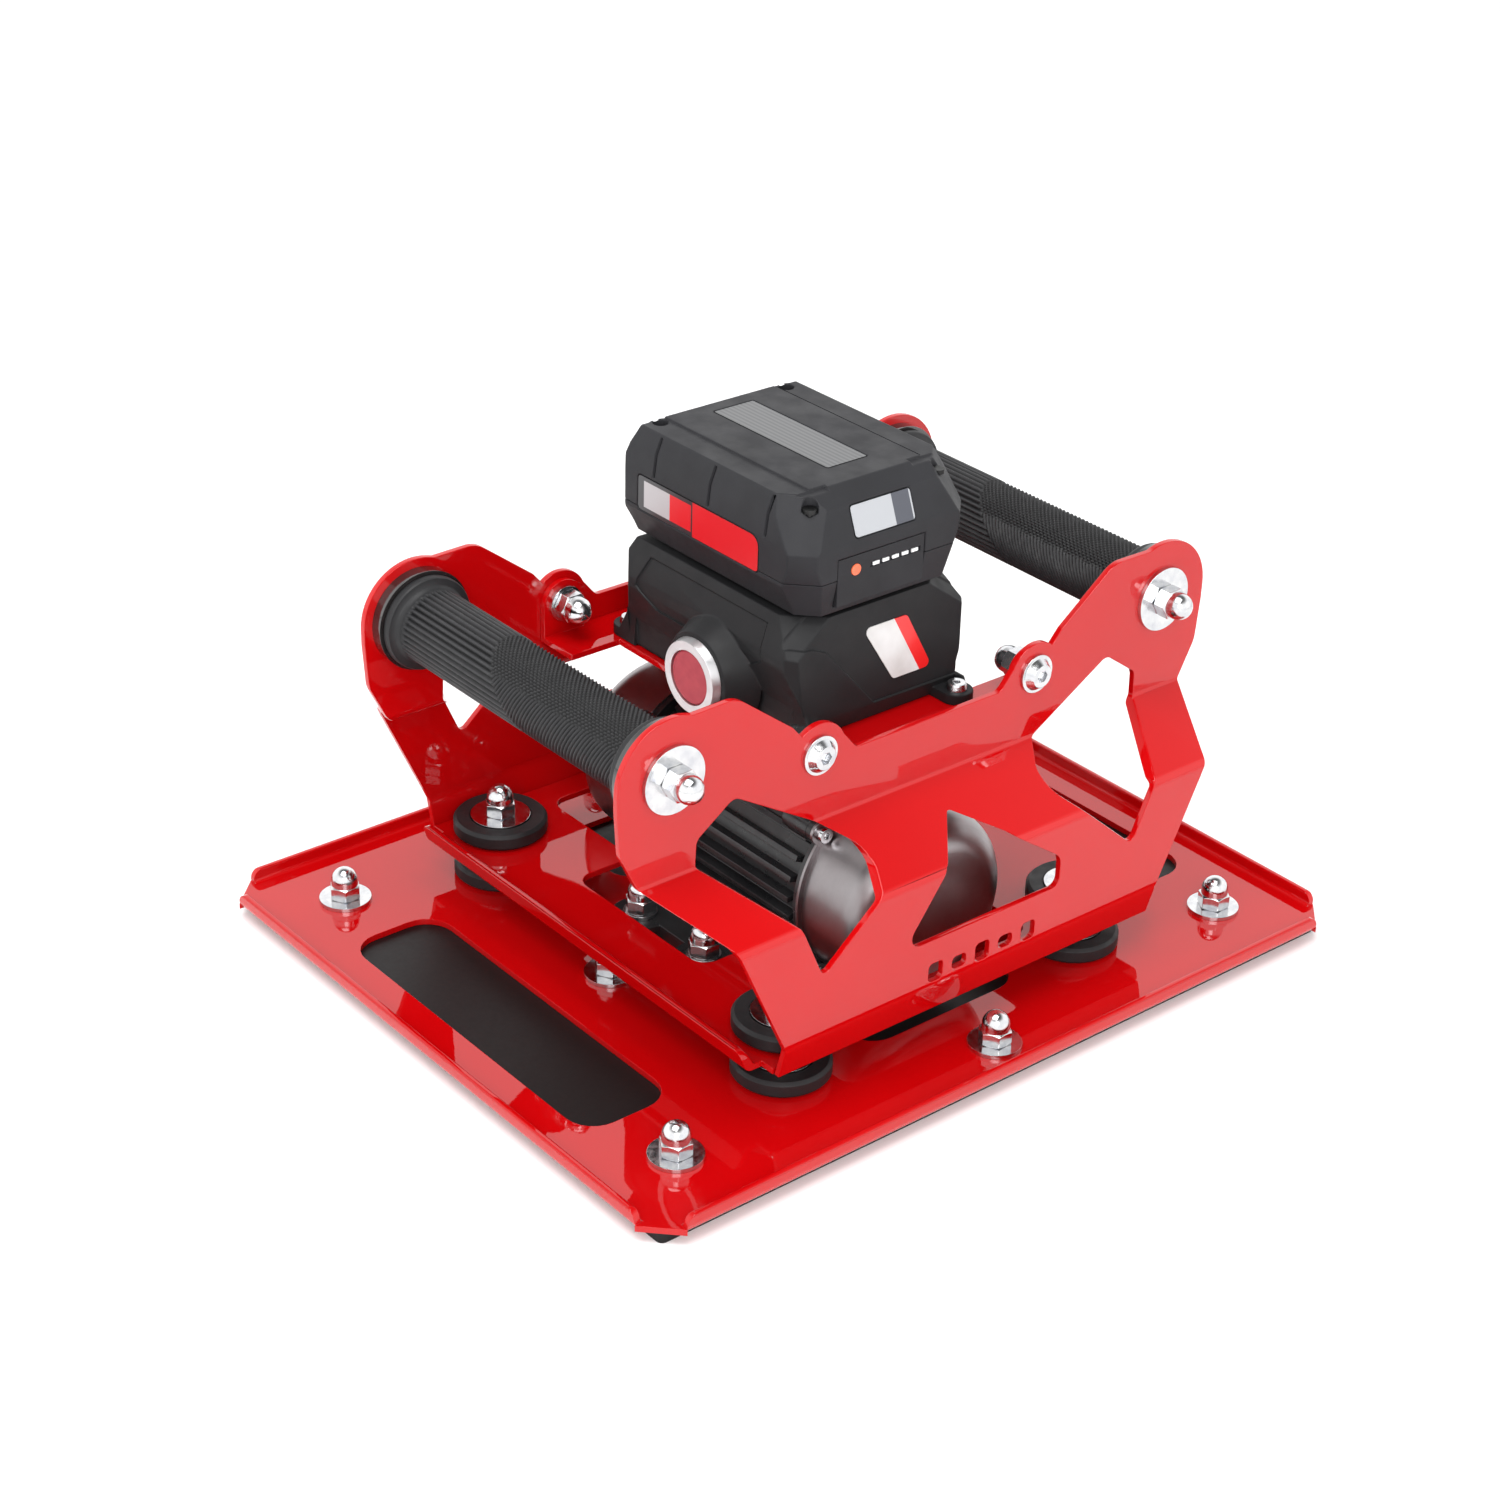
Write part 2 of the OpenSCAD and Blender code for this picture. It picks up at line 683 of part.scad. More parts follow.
module side_panel() difference() {
    intersection() {
        along_x(-170, 170) panel_profile();
        along_y(-140, 0) {
            panel_half();
            mirror([1, 0]) panel_half();
        }
    }
    along_y(-150, -10) {
        panel_side_opening();
        mirror([1, 0]) panel_side_opening();
        panel_middle_opening();
        panel_slots();
    }
    for (s = [-1, 1]) {
        translate([s * grip_x, 0, grip_z]) rotate([90, 0, 0]) cylinder(r = m8_r + fit, h = 200);
        translate([s * bracket_bolt_x, 0, bracket_bolt_z]) rotate([90, 0, 0]) cylinder(r = m8_r + fit, h = 200);
    }
}

module side_panel_front() color(RED) side_panel();
module side_panel_rear() color(RED) rotate(180) side_panel();

// ---------- grips ----------

// Places children on both grip axes, built along +Z from the middle
module grip_axes() for (s = [-1, 1]) translate([s * grip_x, 0, grip_z]) rotate([90, 0, 0]) children();
// Both ends of whatever sits on an axis
module both_ends() for (s = [0, 1]) mirror([0, 0, s]) children();

module rubber_grip() {
    r = grip_d / 2;
    f = grip_flange_d / 2;
    g = grip_half;
    translate([0, 0, grip_z]) rotate([90, 0, 0]) rotate_extrude() polygon([[tube_r + fit, -g], [f - 1, -g], [f, -g + 1],
        [f, -g + flange_t - 1], [f - 1, -g + flange_t], [r + 1, -g + flange_t + 1], [r, -g + flange_t + 3],
        [r, g - flange_t - 3], [r + 1, g - flange_t - 1], [f - 1, g - flange_t], [f, g - flange_t + 1],
        [f, g - 1], [f - 1, g], [tube_r + fit, g]]);
}

module grip_left() color(RUBBER) translate([-grip_x, 0, 0]) rubber_grip();
module grip_right() color(RUBBER) translate([grip_x, 0, 0]) rubber_grip();

module grip_tubes() color(ZINC) grip_axes() translate([0, 0, -panel_in_y]) ring(tube_r, tube_bore_r, 2 * panel_in_y);

module grip_discs() color(ZINC) grip_axes() both_ends() translate([0, 0, grip_half]) ring(disc_r, tube_r + fit, disc_t);

module grip_rods() color(ZINC) grip_axes() {
    half = panel_high_y + washer_h + nut_h + nut_collar_h;
    translate([0, 0, -half]) cylinder(r = m8_r, h = 2 * half);
}

module grip_washers() color(ZINC) grip_axes() both_ends()
    translate([0, 0, panel_high_y]) ring(fender_r, m8_r + fit, washer_h);

module grip_nuts() color(ZINC) grip_axes() both_ends() translate([0, 0, panel_high_y + washer_h]) cap_nut();

// ---------- bracket ----------

module bracket_axes() for (s = [-1, 1]) translate([s * bracket_bolt_x, 0, bracket_bolt_z])
    rotate([90, 0, 0]) children();

module cross_bracket() color(RED) difference() {
    union() {
        translate([0, 0, bracket_z0]) linear_extrude(sheet) difference() {
            union() {
                square([2 * bracket_half_x, 2 * tab_y1], center = true);
                for (s = [-1, 1]) translate([0, s * (tab_y1 - bracket_arm / 2)])
                    square([2 * (bracket_bolt_x + tab_r), bracket_arm], center = true);
            }
            plate2d(bracket_cut_x, bracket_cut_y, 6);
        }
        for (s = [-1, 1], t = [0, 180]) rotate(t) translate([s * bracket_bolt_x, 0, 0])
            along_y(-tab_y1, -tab_y0) {
                translate([-tab_r, bracket_z0]) square([2 * tab_r, bracket_bolt_z - bracket_z0]);
                translate([0, bracket_bolt_z]) circle(r = tab_r);
            }
    }
    for (s = [-1, 1]) translate([s * bracket_bolt_x, 100, bracket_bolt_z]) rotate([90, 0, 0])
        cylinder(r = m8_r + fit, h = 200);
    for (sx = [-1, 1], sy = [-1, 1]) translate([sx * lug_x, sy * lug_y, 0]) cylinder(r = 2.6, h = 200);
}

module bracket_bolts() color(ZINC) bracket_axes() both_ends() translate([0, 0, panel_high_y]) {
    difference() {
        union() {
            cylinder(r = 8.9, h = 1.4);
            translate([0, 0, 1.4]) cylinder(r1 = 7.4, r2 = 5.2, h = 3.2);
        }
        translate([0, 0, 1.6]) cylinder(d = 5 / cos(30), h = 5, $fn = 6);
    }
    translate([0, 0, -(panel_high_y - tab_y0) - washer_h - nut_h - nut_collar_h])
        cylinder(r = m8_r, h = panel_high_y - tab_y0 + washer_h + nut_h + nut_collar_h + 0.5);
}

module bracket_washers() color(ZINC) bracket_axes() both_ends()
    translate([0, 0, tab_y0 - washer_h]) ring(8.5, m8_r + fit, washer_h);

module bracket_nuts() color(ZINC) bracket_axes() both_ends()
    translate([0, 0, tab_y0 - washer_h]) mirror([0, 0, 1]) cap_nut();

// ---------- control housing ----------

// Sloping facet across a front corner of the housing
module front_corner_profile(w, z0, z1)
    polygon([[150, z0], [-76 + w, z0], [-76 + w, 172], [-61 + w, z1], [150, z1]]);

// Closed outer form of the housing, shrunk by a wall thickness
module housing_form(w) {
    x = housing_half_x - w;
    y = housing_half_y - w;
    z0 = housing_z0 + (w > 0 ? -1 : 0);
    z1 = housing_z1 - w;
    intersection() {
        along_y(-80, 80) polygon([[-x + 8, z0], [-x + 7, 146], [-x, 166], [-x, 172], [-x + 7, z1],
            [x - 7, z1], [x, 172], [x, 166], [x - 7, 146], [x - 8, z0]]);
        along_x(-80, 80) polygon([[-y + 3, z0], [-y, front_z], [-y + front_lean, z1],
            [y - 7, z1], [y, 171], [y, 164], [y - 5, z0]]);
        translate([0, 0, z0 - 1]) linear_extrude(80) polygon([[-x, -y + 7], [-x + 6, -y], [x - 6, -y], [x, -y + 7],
            [x, y - 10], [x - 8, y], [-x + 8, y], [-x, y - 10]]);
        across_corner(45) front_corner_profile(w, z0, z1);
        across_corner(-45) front_corner_profile(w, z0, z1);
    }
}

// Screw lug with a wing that rises to the housing's side wall
module housing_lug() {
    translate([-lug_x, -lug_y, housing_z0]) {
        cylinder(r = housing_lug_r, h = lug_h);
        translate([-housing_lug_r, 0, 0]) cube([2 * housing_lug_r, 11.5, lug_h]);
    }
    along_x(-lug_x - housing_lug_r, -lug_x - housing_lug_r + 1.8) polygon([[-lug_y, housing_z0], [-lug_y + 13.4, housing_z0],
        [-lug_y + 13.4, housing_z0 + 21], [-lug_y + 10, housing_z0 + 21], [-lug_y, housing_z0 + 2]]);
}

// Cone that leads from the housing's side to the button
module button_fairing() intersection() {
    translate([boss_x, button_y, button_z]) rotate([0, 90, 0]) cylinder(r1 = bezel_r + 2, r2 = bezel_r + 9, h = 15);
    translate([-100, -50, housing_z0]) cube([100, 100, 60]);
}

// Area of the front face that stands back from the skirt below it
module front_panel_outline() polygon([[-60, 174], [-47, 176], [-39, 175.5], [-31, 172], [-5, 141.5],
    [60, 140.5], [60, 200], [-60, 200]]);

module housing_shell() color(BLACK) difference() {
    union() {
        difference() {
            housing_form(0);
            housing_form(housing_wall);
        }
        for (sx = [0, 1], sy = [0, 1]) mirror([sx, 0]) mirror([0, sy]) housing_lug();
        button_fairing();
    }
    difference() {
        along_y(-80, -50) front_panel_outline();
        translate([0, front_step, 0]) housing_form(0);
    }
    for (s = [0, 1]) mirror([s, 0]) difference() {
        along_x(-80, -40) polygon([[47, 168], [42, 182], [-38, 182], [-40, 166], [-30, 160], [34, 160]]);
        translate([side_step, 0, 0]) housing_form(0);
        if (s == 0) button_fairing();
    }
    translate([boss_x - 1, button_y, button_z]) rotate([0, 90, 0]) cylinder(r = 15 + fit, h = 26);
    for (sx = [-1, 1], sy = [-1, 1]) translate([sx * lug_x, sy * lug_y, 0]) cylinder(r = 2.6, h = 200);
}

module housing_base() color(BLACK) difference() {
    translate([0, 0, housing_z0]) linear_extrude(2) plate2d(76, 98, 6);
    translate([0, 0, housing_z0 - 1]) cylinder(r = 6 + fit, h = 10);
}

module housing_screws() color(ZINC)
    for (sx = [-1, 1], sy = [-1, 1]) translate([sx * lug_x, sy * lug_y, 0]) {
        translate([0, 0, bracket_z0 - 3]) cylinder(r = 2.5, h = housing_z0 + lug_h - bracket_z0 + 3.5);
        translate([0, 0, housing_z0 + lug_h]) difference() {
            cylinder(r1 = 5, r2 = 4, h = 3);
            translate([0, 0, 1]) cylinder(d = 3 / cos(30), h = 5, $fn = 6);
        }
    }

module control_board() color([0.05, 0.30, 0.12]) {
    top = 147;
    difference() {
        translate([-20, -32, top - 1.6]) cube([52, 64, 1.6]);
        translate([14, 24, top - 3]) cylinder(r = 2, h = 5);
    }
    for (x = [-16, 28], y = [-28, 28]) translate([x, y, housing_z0 + 2]) cylinder(r = 2.5, h = top - 1.6 - housing_z0 - 2);
    translate([0, -20, top]) cube([24, 14, 12]);
    for (i = [0 : 2]) translate([-10 + i * 13, 10, top]) cylinder(r = 5, h = 14);
}

module housing_gland() color(BLACK) translate([0, 0, housing_z0]) difference() {
    union() {
        translate([0, 0, -8]) cylinder(r = 9, h = 8);
        translate([0, 0, -0.5]) cylinder(r = 6, h = 4);
    }
    translate([0, 0, -20]) cylinder(r = 3.2, h = 40);
}

module rail_block() color(BLACK) {
    y = rail_half_y;
    translate([-rail_stem_x, -y, housing_z1]) cube([2 * rail_stem_x, 2 * y, rail_head_z - housing_z1]);
    difference() {
        translate([-rail_head_x, -y, rail_head_z]) cube([2 * rail_head_x, 2 * y, rail_head_top - rail_head_z]);
        for (i = [-1 : 1]) translate([i * 14 - 0.4, 8, rail_head_top - 1]) cube([0.8, 26, 2]);
    }
}

module terminal_blades() color(COPPER)
    for (i = [-1 : 1]) translate([i * 14 - 0.4, 8, rail_head_top - 1]) cube([0.8, 26, 4]);

module button_bezel() color(ZINC) translate([bezel_face_x, button_y, button_z]) rotate([0, 90, 0]) difference() {
    union() {
        cylinder(r1 = bezel_r - 1, r2 = bezel_r, h = 4);
        translate([0, 0, 3]) cylinder(r = 15, h = 17);
    }
    translate([0, 0, -1]) cylinder(r = button_r + fit, h = 10);
    cylinder(r = 5 + fit, h = 40);
    translate([0, 0, 11]) cylinder(r = 10 + fit, h = 40);
}

module switch_body() color(BLACK) translate([-52.9, button_y, button_z]) rotate([0, 90, 0]) difference() {
    cylinder(r = 10, h = 20);
    translate([0, 0, -1]) cylinder(r = 5 + fit, h = 10);
}

module start_button() color([0.62, 0.05, 0.07]) translate([0, button_y, button_z]) rotate([0, 90, 0]) {
    translate([0, 0, bezel_face_x + 0.6]) cylinder(r1 = button_r - 0.8, r2 = button_r, h = 0.8);
    translate([0, 0, bezel_face_x + 1.4]) cylinder(r = button_r, h = 4.6);
    translate([0, 0, -58.1]) cylinder(r = 5, h = 9);
}

// Plate on the housing's front face, slanted like the step of the skirt beside it
module housing_label() color([0.8, 0.8, 0.8]) {
    lean = atan2(front_lean, housing_z1 - front_z);
    translate([0, -housing_half_y + front_step, front_z]) rotate([90 - lean, 0, 0]) translate([0, 0, 0.02])
        linear_extrude(0.6) polygon(rounded([[6.3, 7, 2.5], [28.6, 7, 2.5], [14.6, 34.5, 2.5], [-10.4, 34.5, 2.5]]));
}

// ---------- battery ----------

// Closed outer form of the battery, shrunk by a wall thickness, from a height up
module battery_form(w, z0) {
    x = battery_half_x - w;
    y = battery_half_y - w;
    z1 = battery_top - w;
    intersection() {
        along_y(-80, 80) polygon([[-x + 6.5, rail_z0], [-x + 4.5, 194], [-x, 203], [-x, 221], [-x + 1.5, 232], [-x + 5.2, z1],
            [x - 5.2, z1], [x - 1.5, 232], [x, 221], [x, 203], [x - 4.5, 194], [x - 6.5, rail_z0]]);
        along_x(-80, 80) polygon([[-y + 3, rail_z0], [-y, 205], [-y, front_label_z], [-y + 6, 235.5], [-y + 15, z1],
            [y - 8, z1], [y - 1, 224], [y, 212], [y - 3, 194], [y - 4, rail_z0]]);
        translate([0, 0, z0]) linear_extrude(80) polygon([[-x, -y + 9], [-x + 9, -y], [x - 9, -y], [x, -y + 9],
            [x, y - 3], [x - 3, y], [-x + 3, y], [-x, y - 3]]);
        across_corner(45) battery_corner_profile(w, z1);
        across_corner(-45) battery_corner_profile(w, z1);
    }
}

// Sloping facet across a front corner of the battery
module battery_corner_profile(w, z1)
    polygon([[150, rail_z0], [-65 + w, rail_z0], [-71 + w, 212], [-71 + w, 219], [-57 + w, z1], [150, z1]]);

// Shallow seats for the plates on the battery, or the plates themselves
module battery_plates(grow, depth, t) {
    for (s = [0, 1]) mirror([s, 0]) translate([-battery_half_x + depth, 0, 0]) rotate([90, 0, -90])
        linear_extrude(t) polygon(rounded([[-48.6 - grow, side_label_z0 - grow, 2], [33 + grow, side_label_z0 - grow, 2],
            [33 + grow, side_label_z1 + grow, 5], [27, side_label_z1 + grow, 0], [-48.6 - grow, side_label_z1 + grow, 2]]));
    translate([0, -battery_half_y, front_label_z]) rotate([90 - atan2(6, 15), 0, 0]) translate([-2, 8.2, -depth])
        linear_extrude(t) plate2d(33 + 2 * grow, 13.5 + 2 * grow, 1.5);
    translate([1, 7, battery_top - depth]) linear_extrude(t) plate2d(22 + 2 * grow, 76 + 2 * grow, 1);
}

module battery_shell() color(BLACK) {
    difference() {
        union() {
            difference() {
                battery_form(0, foot_z1);
                battery_form(battery_wall, foot_z1 - 1);
            }
            intersection() {
                battery_form(0, foot_z1);
                for (sx = [-1, 1], sy = [-1, 1]) translate([sx * screw_x, sy * screw_y, 0]) {
                    translate([0, 0, foot_z1]) cylinder(r = screw_boss_r, h = battery_top - foot_z1);
                    translate([0, 0, screw_collar_z]) cylinder(r = screw_collar_r, h = 20);
                }
            }
        }
        for (sx = [-1, 1], sy = [-1, 1]) translate([sx * screw_x, sy * screw_y, 0]) {
            cylinder(r = 1.6 + fit, h = 300);
            translate([0, 0, screw_seat_z]) cylinder(r = 3.4, h = 20);
        }
        battery_plates(0.3, label_sink, 5);
        for (s = [0, 1]) mirror([s, 0]) {
            translate([31, -80, battery_top - 0.7]) cube([30, 160, 5]);
            translate([23, -80, battery_top - 1.3]) cube([40, 36, 5]);
        }
        difference() {
            for (y = SIDE_GROOVES) translate([-60, y - 0.5, side_label_z1 + 2]) cube([120, 1, 17]);
            scale([1 - 0.6 / battery_half_x, 1, 1]) battery_form(0, foot_z1);
        }
        translate([release_x0 - 0.3, -80, release_z0 - 5]) cube([release_x1 - release_x0 + 0.6, 25, release_z1 - release_z0 + 5.3]);
    }
}

module battery_foot() color(BLACK) {
    lip_x = rail_stem_x + 1;
    room_x = rail_head_x + 0.8;
    difference() {
        intersection() {
            battery_form(0, rail_z0);
            translate([-100, -100, rail_z0 - 1]) cube([200, 200, foot_z1 - rail_z0 + 1]);
        }
        translate([-lip_x, -rail_half_y - 1.5, rail_z0 - 1]) cube([2 * lip_x, 200, 5]);
        translate([-room_x, -rail_half_y - 1.5, rail_z0 + 2.5]) cube([2 * room_x, 200, rail_head_top + 0.6 - rail_z0 - 2.5]);
        for (i = [-1 : 1]) translate([i * 14 - 1.5, -rail_half_y, rail_head_top]) cube([3, 200, 3.8]);
        translate([release_x0 - 0.3, -80, release_z0 - 0.3]) cube([release_x1 - release_x0 + 0.6, pocket_y + 80, release_z1]);
        for (sx = [-1, 1], sy = [-1, 1]) translate([sx * screw_x, sy * screw_y, foot_z1 - 8]) cylinder(r = 1.6 + fit, h = 20);
        battery_plates(0.3, label_sink, 5);
    }
}

module battery_cells() color([0.15, 0.35, 0.55])
    for (i = [-2 : 2]) translate([-cell_len / 2, i * cell_pitch, cell_z]) rotate([0, 90, 0]) cylinder(r = cell_r, h = cell_len);

module battery_screws() color(ZINC)
    for (sx = [-1, 1], sy = [-1, 1]) translate([sx * screw_x, sy * screw_y, 0]) {
        translate([0, 0, foot_z1 - 7]) cylinder(r = 1.6, h = screw_seat_z - foot_z1 + 7);
        translate([0, 0, screw_seat_z]) cylinder(r = 3.1, h = 2);
    }

module battery_labels() color([0.55, 0.55, 0.55]) battery_plates(0, label_sink, label_t);

module release_button() color(BLACK) difference() {
    latch_y = pocket_y - release_travel - 0.5;
    union() {
        translate([release_x0, release_face_y, release_z0])
            cube([release_x1 - release_x0, 6.6, release_z1 - release_z0]);
        translate([release_x0 + 4, release_face_y + 5, release_z0])
            cube([release_x1 - release_x0 - 8, latch_y - release_face_y - 5, 8]);
    }
    translate([gauge_x, release_face_y - 1, gauge_z]) rotate([-90, 0, 0]) cylinder(r = gauge_r + fit, h = 4);
    translate([-10, release_face_y - 1, gauge_z - 1.2]) cube([28, 1.8, 2.4]);
}

module gauge_lights() color([0.95, 0.95, 0.95])
    for (i = [0 : 4]) translate([-8.5 + i * 5.4, release_face_y, gauge_z - 0.8]) cube([3.6, 0.8, 1.6]);

module gauge_button() color([0.9, 0.25, 0.1]) translate([gauge_x, release_face_y - 0.3, gauge_z])
    rotate([-90, 0, 0]) cylinder(r = gauge_r, h = 2.3);

base_plate();
sole_plate();
sole_bolts();
sole_washers();
sole_nuts();
mount_studs();
lower_buffers();
lower_washers();
spacer_nuts();
upper_buffers();
upper_washers();
upper_nuts();
motor_body();
motor_stator();
motor_bearings();
end_shields();
end_cover_front();
end_cover_rear();
cover_screws();
motor_gland();
motor_bolts();
motor_washers();
motor_nuts();
rotor_shaft();
eccentric_front();
eccentric_rear();
floor_tray();
side_panel_front();
side_panel_rear();
grip_left();
grip_right();
grip_tubes();
grip_discs();
grip_rods();
grip_washers();
grip_nuts();
cross_bracket();
bracket_bolts();
bracket_washers();
bracket_nuts();
housing_shell();
housing_base();
housing_screws();
control_board();
housing_gland();
rail_block();
terminal_blades();
button_bezel();
switch_body();
housing_label();
start_button();
battery_shell();
battery_foot();
battery_cells();
battery_screws();
battery_labels();
release_button();
gauge_lights();
gauge_button();
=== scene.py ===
"""Looks of a battery vibrating plate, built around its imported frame. Lengths are in metres."""
import json
import math

import bmesh
import bpy
from mathutils import Matrix, Vector
from mathutils.bvhtree import BVHTree

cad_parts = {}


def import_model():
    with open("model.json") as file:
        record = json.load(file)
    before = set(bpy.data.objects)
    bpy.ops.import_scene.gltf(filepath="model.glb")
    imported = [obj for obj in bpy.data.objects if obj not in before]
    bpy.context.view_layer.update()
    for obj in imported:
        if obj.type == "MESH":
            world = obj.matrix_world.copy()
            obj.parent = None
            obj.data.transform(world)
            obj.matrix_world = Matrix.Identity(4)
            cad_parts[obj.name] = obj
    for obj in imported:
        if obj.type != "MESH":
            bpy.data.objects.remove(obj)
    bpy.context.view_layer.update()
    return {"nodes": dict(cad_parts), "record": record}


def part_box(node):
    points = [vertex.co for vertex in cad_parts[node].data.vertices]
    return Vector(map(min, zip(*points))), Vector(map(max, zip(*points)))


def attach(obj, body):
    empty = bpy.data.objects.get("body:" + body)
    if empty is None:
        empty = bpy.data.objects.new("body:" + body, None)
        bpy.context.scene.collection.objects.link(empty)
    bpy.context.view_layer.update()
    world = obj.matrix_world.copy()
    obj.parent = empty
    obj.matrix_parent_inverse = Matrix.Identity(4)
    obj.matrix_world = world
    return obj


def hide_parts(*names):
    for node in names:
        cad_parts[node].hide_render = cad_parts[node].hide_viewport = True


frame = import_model()

MM = 0.001
RECORD = frame["record"]
BODY_OF = {n: body for body, names in RECORD["behaviour"]["bodies"].items() for n in names}
SLOT_OF = {part["node"]: part["material_slot"] for part in RECORD["subparts"]}


# ---------- placing pieces ----------


def middle(node):
    """The centre of a CAD node's box."""
    low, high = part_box(node)
    return (low + high) / 2


def make_object(name, mesh, material):
    obj = bpy.data.objects.new(name, mesh)
    bpy.context.scene.collection.objects.link(obj)
    mesh.materials.clear()
    mesh.materials.append(material)
    return obj


def stand_for(obj, *nodes):
    """obj takes the place of CAD nodes of one body and moves with that body."""
    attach(obj, BODY_OF[nodes[0]])
    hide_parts(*nodes)
    return obj


def bake_modifiers(obj):
    """Turns the object's mesh into what its modifiers make of it."""
    bpy.context.view_layer.update()
    depsgraph = bpy.context.evaluated_depsgraph_get()
    done = bpy.data.meshes.new_from_object(obj.evaluated_get(depsgraph))
    obj.modifiers.clear()
    obj.data = done
    done.name = obj.name
    return done


def surface_tree(mesh):
    """A search tree over a mesh's faces."""
    bm = bmesh.new()
    bm.from_mesh(mesh)
    tree = BVHTree.FromBMesh(bm)
    bm.free()
    return tree


def pull_in(mesh, surface, reach):
    """Brings points that the rounding threw off a form's surface back onto it."""
    for vertex in mesh.vertices:
        nearest, _, _, off = surface.find_nearest(vertex.co)
        if off > reach:
            vertex.co = nearest


def finish_mesh(obj, bevel=0.0, smooth_angle=35.0):
    """Rounds the hard edges and sets smooth shading that keeps flat faces flat."""
    mesh = obj.data
    if bevel:
        surface = surface_tree(mesh)
        edges = obj.modifiers.new("edges", "BEVEL")
        edges.width = bevel
        edges.segments = 2
        edges.limit_method = "ANGLE"
        edges.angle_limit = math.radians(28)
        edges.use_clamp_overlap = False
        edges.miter_outer = "MITER_SHARP"
        mesh = bake_modifiers(obj)
        pull_in(mesh, surface, 1.2 * bevel)
    mesh.polygons.foreach_set("use_smooth", [True] * len(mesh.polygons))
    mesh.set_sharp_from_angle(angle=math.radians(smooth_angle))
    if bevel:
        normals = obj.modifiers.new("normals", "WEIGHTED_NORMAL")
        normals.mode = "FACE_AREA"
        normals.weight = 80
        normals.keep_sharp = True
        mesh = bake_modifiers(obj)
    mesh.update()
    return obj


def clean_copy(node):
    """A CAD node's form as a new mesh with welded points and flat faces merged."""
    bm = bmesh.new()
    bm.from_mesh(frame["nodes"][node].data)
    bmesh.ops.remove_doubles(bm, verts=bm.verts, dist=0.002 * MM)
    bmesh.ops.dissolve_degenerate(bm, dist=0.002 * MM, edges=bm.edges)
    bmesh.ops.dissolve_limit(
        bm, angle_limit=math.radians(0.4), verts=bm.verts, edges=bm.edges, delimit={"NORMAL"}
    )
    bmesh.ops.recalc_face_normals(bm, faces=bm.faces)
    mesh = bpy.data.meshes.new(node)
    bm.to_mesh(mesh)
    bm.free()
    for attribute in ("custom_normal", "sharp_edge", "sharp_face"):
        if attribute in mesh.attributes:
            mesh.attributes.remove(mesh.attributes[attribute])
    return mesh


def rounded(node, material, bevel):
    """Replaces a CAD node with a copy whose hard edges are rounded."""
    obj = make_object(node + "_skin", clean_copy(node), material)
    finish_mesh(obj, bevel)
    return stand_for(obj, node)


# ---------- material nodes ----------


def new_material(name, color, roughness, metallic=0.0, **sockets):
    mat = bpy.data.materials.new(name)
    mat.use_nodes = True
    shader = mat.node_tree.nodes["Principled BSDF"]
    shader.inputs["Base Color"].default_value = (*color, 1)
    shader.inputs["Roughness"].default_value = roughness
    shader.inputs["Metallic"].default_value = metallic
    for socket, value in sockets.items():
        shader.inputs[socket.replace("_", " ")].default_value = value
    return mat


def shader_of(mat):
    return mat.node_tree.nodes["Principled BSDF"]


def add(mat, kind, links=(), **values):
    """A new node with its named properties and inputs set."""
    node = mat.node_tree.nodes.new(kind)
    for key, value in values.items():
        if key in node.inputs:
            node.inputs[key].default_value = value
        else:
            setattr(node, key, value)
    for socket, source in links:
        mat.node_tree.links.new(source, node.inputs[socket])
    return node


def connect(mat, source, socket):
    mat.node_tree.links.new(source, shader_of(mat).inputs[socket])


def place(mat):
    """Object coordinates, which are the frame's own metres."""
    return add(mat, "ShaderNodeTexCoord").outputs["Object"]


def noise_value(mat, scale, detail=3.0, roughness=0.5, source=None):
    node = add(mat, "ShaderNodeTexNoise", [("Vector", source or place(mat))])
    node.inputs["Scale"].default_value = scale
    node.inputs["Detail"].default_value = detail
    node.inputs["Roughness"].default_value = roughness
    return node.outputs["Fac"]


def ramp(mat, source, low, high, start=0.0, stop=1.0):
    """Maps a value from start..stop to a colour or a grey between low and high."""
    node = add(mat, "ShaderNodeValToRGB", [("Fac", source)])
    ends = node.color_ramp.elements
    ends[0].position = start
    ends[1].position = stop
    for end, value in zip(ends, (low, high)):
        end.color = (*value, 1) if isinstance(value, tuple) else (value, value, value, 1)
    return node.outputs["Color"]


def bump(mat, height, distance, strength, socket="Normal"):
    node = add(mat, "ShaderNodeBump", [("Height", height)])
    node.inputs["Strength"].default_value = strength
    node.inputs["Distance"].default_value = distance
    connect(mat, node.outputs["Normal"], socket)


def over(mat, source, limit):
    """1 where a value is greater than a limit, 0 elsewhere."""
    node = add(mat, "ShaderNodeMath", [(0, source)], operation="GREATER_THAN")
    node.inputs[1].default_value = limit
    return node.outputs[0]


def mixed(mat, factor, first, second):
    """first where the factor is 0, second where it is 1; each a colour or another node's output."""
    node = add(mat, "ShaderNodeMix", data_type="RGBA")
    mat.node_tree.links.new(factor, node.inputs[0])
    for socket, value in ((node.inputs[6], first), (node.inputs[7], second)):
        if isinstance(value, tuple):
            socket.default_value = (*value, 1)
        else:
            mat.node_tree.links.new(value, socket)
    return node.outputs[2]


